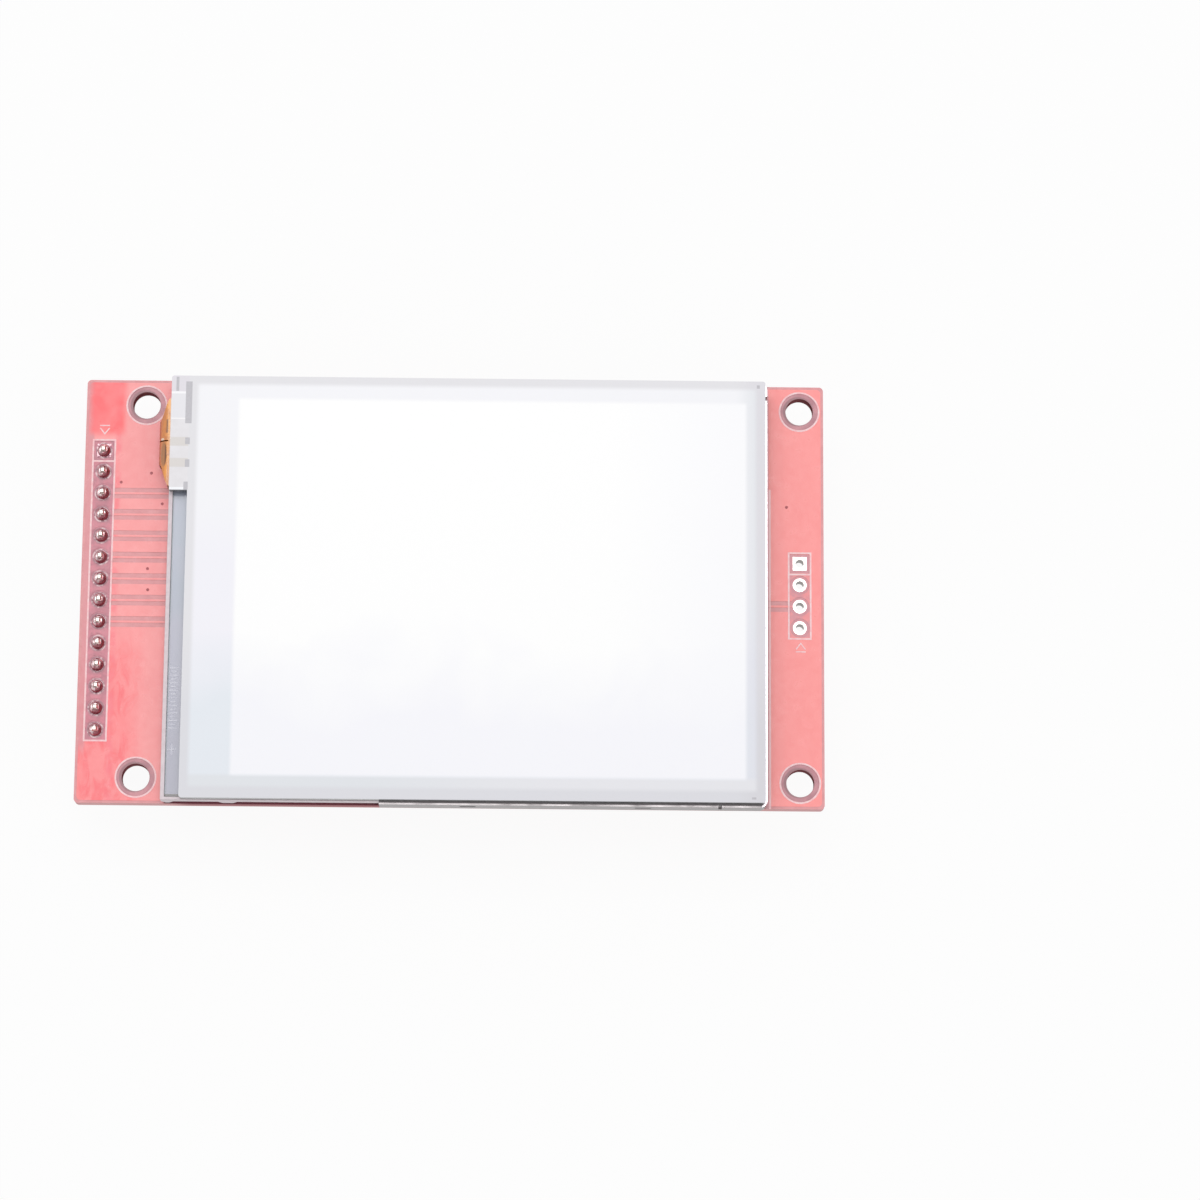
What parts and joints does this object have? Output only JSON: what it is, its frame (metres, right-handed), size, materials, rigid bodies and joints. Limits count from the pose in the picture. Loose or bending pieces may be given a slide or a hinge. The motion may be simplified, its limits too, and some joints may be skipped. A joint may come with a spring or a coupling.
{
  "type": "tft display module",
  "caption": "Flat colour touch display taped to a red circuit board, with a long soldered pin header at one end, a card socket on the back and corner mounting holes.",
  "frame": {"origin": "centre of the four-hole mounting pattern, on the plane of the bare board's back face", "axes": "+Z out of the screen, +X along the long side from the pin header to the card header, +Y across the board towards header pin 1"},
  "size_m": [0.086, 0.0503, 0.0141],
  "materials": {
    "red_mask": "gloss solder mask over laminate",
    "white_ink": "printed legend ink",
    "black_plastic": "moulded black plastic",
    "header_metal": "plated square pins",
    "plated_pads": "tinned copper pads",
    "solder": "bright solder",
    "touch_film": "clear gloss film",
    "touch_glass": "clear sheet glass",
    "grey_rim": "printed insulating rim",
    "clear_adhesive": "double-sided adhesive",
    "polarizer": "screen face, lit white",
    "panel_glass": "thin panel glass with metal tracks",
    "silicon": "bare driver chip",
    "shield_tape": "black rim tape",
    "optical_film": "backlight film",
    "light_guide": "clear moulded light guide",
    "white_plastic": "moulded white plastic",
    "amber_flex": "amber polyimide film",
    "sheet_steel": "thin stainless sheet",
    "foam_tape": "foam mounting tape",
    "contact_gold": "gold-plated spring contacts",
    "chip_black": "moulded chip package",
    "resistor_black": "glazed resistor body",
    "capacitor_tan": "ceramic capacitor body",
    "chip_tin": "tinned end caps"
  },
  "bodies": {
    "root": {"circuit_board": "red_mask", "front_legend": "white_ink", "back_legend": "white_ink", "header_housing": "black_plastic", "header_pads": "plated_pads", "header_solder": "solder", "card_header_pads": "plated_pads", "touch_film": "touch_film", "touch_spacer": "grey_rim", "touch_glass": "touch_glass", "touch_tail": "amber_flex", "panel_adhesive": "clear_adhesive", "front_polarizer": "polarizer", "color_filter_glass": "panel_glass", "tft_glass": "panel_glass", "rear_polarizer": "polarizer", "driver_chip": "silicon", "shield_tape": "shield_tape", "prism_film_upper": "optical_film", "prism_film_lower": "optical_film", "diffuser_film": "optical_film", "light_guide": "light_guide", "reflector_film": "optical_film", "led_strip": "amber_flex", "backlight_leds": "white_plastic", "backlight_frame": "white_plastic", "metal_frame": "sheet_steel", "mounting_tape_upper": "foam_tape", "mounting_tape_lower": "foam_tape", "lcd_flex": "amber_flex", "flex_solder": "solder", "card_socket_base": "black_plastic", "card_socket_shell": "sheet_steel", "card_socket_contacts": "contact_gold", "touch_controller": "chip_black", "touch_controller_leads": "chip_tin", "regulator": "chip_black", "regulator_leads": "chip_tin", "backlight_transistor": "chip_black", "transistor_leads": "chip_tin", "resistors": "resistor_black", "capacitors": "capacitor_tan", "chip_terminals": "chip_tin", "header_pin_01": "header_metal", "header_pin_02": "header_metal", "header_pin_03": "header_metal", "header_pin_04": "header_metal", "header_pin_05": "header_metal", "header_pin_06": "header_metal", "header_pin_07": "header_metal", "header_pin_08": "header_metal", "header_pin_09": "header_metal", "header_pin_10": "header_metal", "header_pin_11": "header_metal", "header_pin_12": "header_metal", "header_pin_13": "header_metal", "header_pin_14": "header_metal"}
  },
  "joints": []
}
